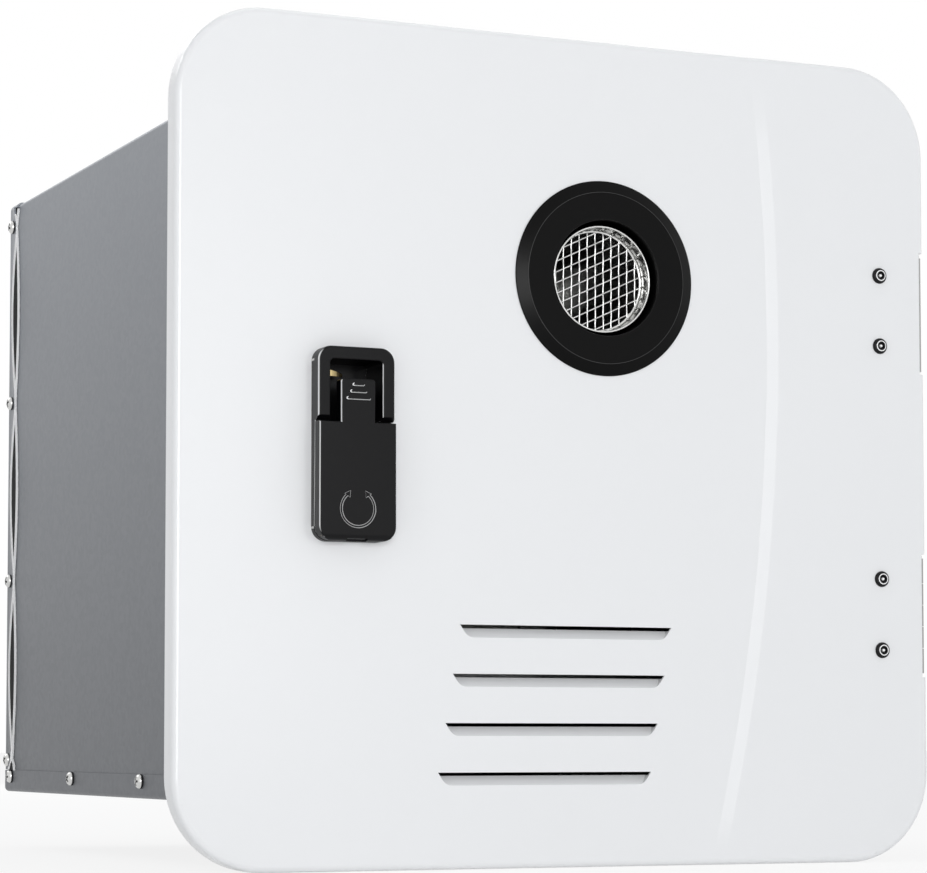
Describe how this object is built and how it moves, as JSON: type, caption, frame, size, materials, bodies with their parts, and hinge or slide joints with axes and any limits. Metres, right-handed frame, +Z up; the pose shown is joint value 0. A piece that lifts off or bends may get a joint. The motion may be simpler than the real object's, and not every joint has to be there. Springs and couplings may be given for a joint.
{
  "type": "caravan water heater",
  "caption": "Square flush-mounted gas water heater with a hinged louvred door, round exhaust outlet, lift-and-turn latch and a sheet-metal housing.",
  "frame": {"origin": "middle of the wall flange on the plane of the caravan's outer skin, which is the rear face of the flange's gasket", "axes": "+X to the right as seen from outside the caravan, +Y into the caravan, +Z up"},
  "size_m": [0.3823, 0.4022, 0.381],
  "materials": {
    "door_paint": "white powder coat, satin",
    "galvanised": "galvanised sheet, matt",
    "plated_screws": "zinc plated",
    "gasket_rubber": "closed-cell foam rubber",
    "spring_steel": "plain spring steel",
    "hinge_steel": "zinc plated",
    "black_screws": "black",
    "lining_foam": "soft foam",
    "black_plastic": "fine grain, satin",
    "latch_metal": "zinc alloy, plated",
    "stainless": "stainless steel",
    "aluminised": "aluminised sheet",
    "motor_black": "moulded",
    "copper": "copper",
    "burner_steel": "heat-stained steel",
    "ceramic": "glazed ceramic",
    "aluminium": "die cast",
    "coil_black": "moulded coil",
    "plunger_steel": "turned",
    "brass": "machined",
    "sensor_plastic": "moulded",
    "turbine_plastic": "moulded",
    "knob_blue": "moulded",
    "lever_red": "moulded",
    "box_plastic": "moulded",
    "board_green": "solder mask",
    "rocker_plastic": "moulded",
    "gland_plastic": "moulded",
    "lead_sheath": "flexible sheath"
  },
  "bodies": {
    "housing": {"wrap_shell": "galvanised", "bottom_pan": "galvanised", "rear_panel": "galvanised", "shell_screws": "plated_screws", "wall_frame": "galvanised", "wall_gasket": "gasket_rubber", "door_seal": "gasket_rubber", "strike_keeper": "spring_steel", "hinge_frame_leaves": "hinge_steel", "hinge_pins": "hinge_steel", "exhaust_tube": "stainless", "exhaust_guard": "stainless", "fan_scroll": "aluminised", "fan_cover": "aluminised", "fan_motor": "motor_black", "flue_hood": "aluminised", "heat_exchanger": "copper", "water_coil": "copper", "combustion_box": "aluminised", "burner_bars": "burner_steel", "burner_cover": "aluminised", "ignition_electrodes": "ceramic", "support_brackets": "galvanised", "gas_manifold": "aluminium", "gas_valve": "aluminium", "gas_solenoids": "coil_black", "gas_inlet": "brass", "water_fittings": "brass", "water_block": "brass", "relief_valve": "brass", "cold_pipe": "copper", "flow_sensor": "sensor_plastic", "control_box": "box_plastic", "control_lid": "box_plastic", "control_board": "board_green", "igniter_module": "motor_black", "cable_gland": "gland_plastic", "wiring_loom": "lead_sheath"},
    "door": {"door_panel": "door_paint", "hinge_door_leaves": "hinge_steel", "hinge_screws": "black_screws", "exhaust_bezel": "black_plastic", "bezel_retainer": "plated_screws", "door_lining": "lining_foam", "latch_base": "black_plastic", "latch_backplate": "plated_screws", "latch_screws": "plated_screws"},
    "spindle": {"latch_spindle": "latch_metal", "latch_cam": "latch_metal", "cam_nut": "latch_metal"},
    "handle": {"latch_handle": "black_plastic", "handle_pin": "latch_metal"},
    "fan": {"fan_wheel": "aluminised", "fan_shaft": "stainless"},
    "turbine": {"flow_turbine": "turbine_plastic"},
    "plungers": {"gas_plungers": "plunger_steel"},
    "drain": {"drain_knob": "knob_blue"},
    "relief": {"relief_lever": "lever_red"},
    "rocker": {"power_rocker": "rocker_plastic"}
  },
  "joints": [
    {"name": "door_swing", "type": "hinge", "parent": "housing", "child": "door", "pos_m": [0.1886, -0.0069, 0], "axis": [0, 0, 1], "range_deg": [0, 160], "deforming": ["strike_keeper"]},
    {"name": "latch_turn", "type": "hinge", "parent": "door", "child": "spindle", "pos_m": [-0.10875, -0.014, -0.0313], "axis": [0, -1, 0], "range_deg": [0, 90]},
    {"name": "handle_lift", "type": "hinge", "parent": "spindle", "child": "handle", "pos_m": [-0.10875, -0.0199, -0.0427], "axis": [1, 0, 0], "range_deg": [0, 90], "stiffness_Nm_per_rad": 0.02, "springref_deg": -34.38},
    {"name": "fan_spin", "type": "hinge", "parent": "housing", "child": "fan", "pos_m": [-0.026, 0.15, 0.09], "axis": [0, 0, 1], "continuous": true},
    {"name": "turbine_spin", "type": "hinge", "parent": "housing", "child": "turbine", "pos_m": [-0.122, 0.15, -0.128], "axis": [0, 1, 0], "continuous": true},
    {"name": "plunger_lift", "type": "slide", "parent": "housing", "child": "plungers", "axis": [0, 0, 1], "range_m": [0, 0.003], "stiffness_N_per_m": 400, "springref_m": -0.002},
    {"name": "drain_turn", "type": "hinge", "parent": "housing", "child": "drain", "pos_m": [-0.122, 0.045, -0.14], "axis": [0, -1, 0], "range_deg": [0, 90]},
    {"name": "relief_lift", "type": "hinge", "parent": "housing", "child": "relief", "pos_m": [-0.122, 0.0235, -0.1095], "axis": [1, 0, 0], "range_deg": [0, 80], "stiffness_Nm_per_rad": 0.02, "springref_deg": -17.19},
    {"name": "rocker_tilt", "type": "hinge", "parent": "housing", "child": "rocker", "pos_m": [-0.1315, 0.0285, 0.092], "axis": [1, 0, 0], "range_deg": [0, 8]}
  ],
  "couplings": [
    {"joint": "latch_turn", "follows": "handle_lift", "ratio": 1}
  ]
}
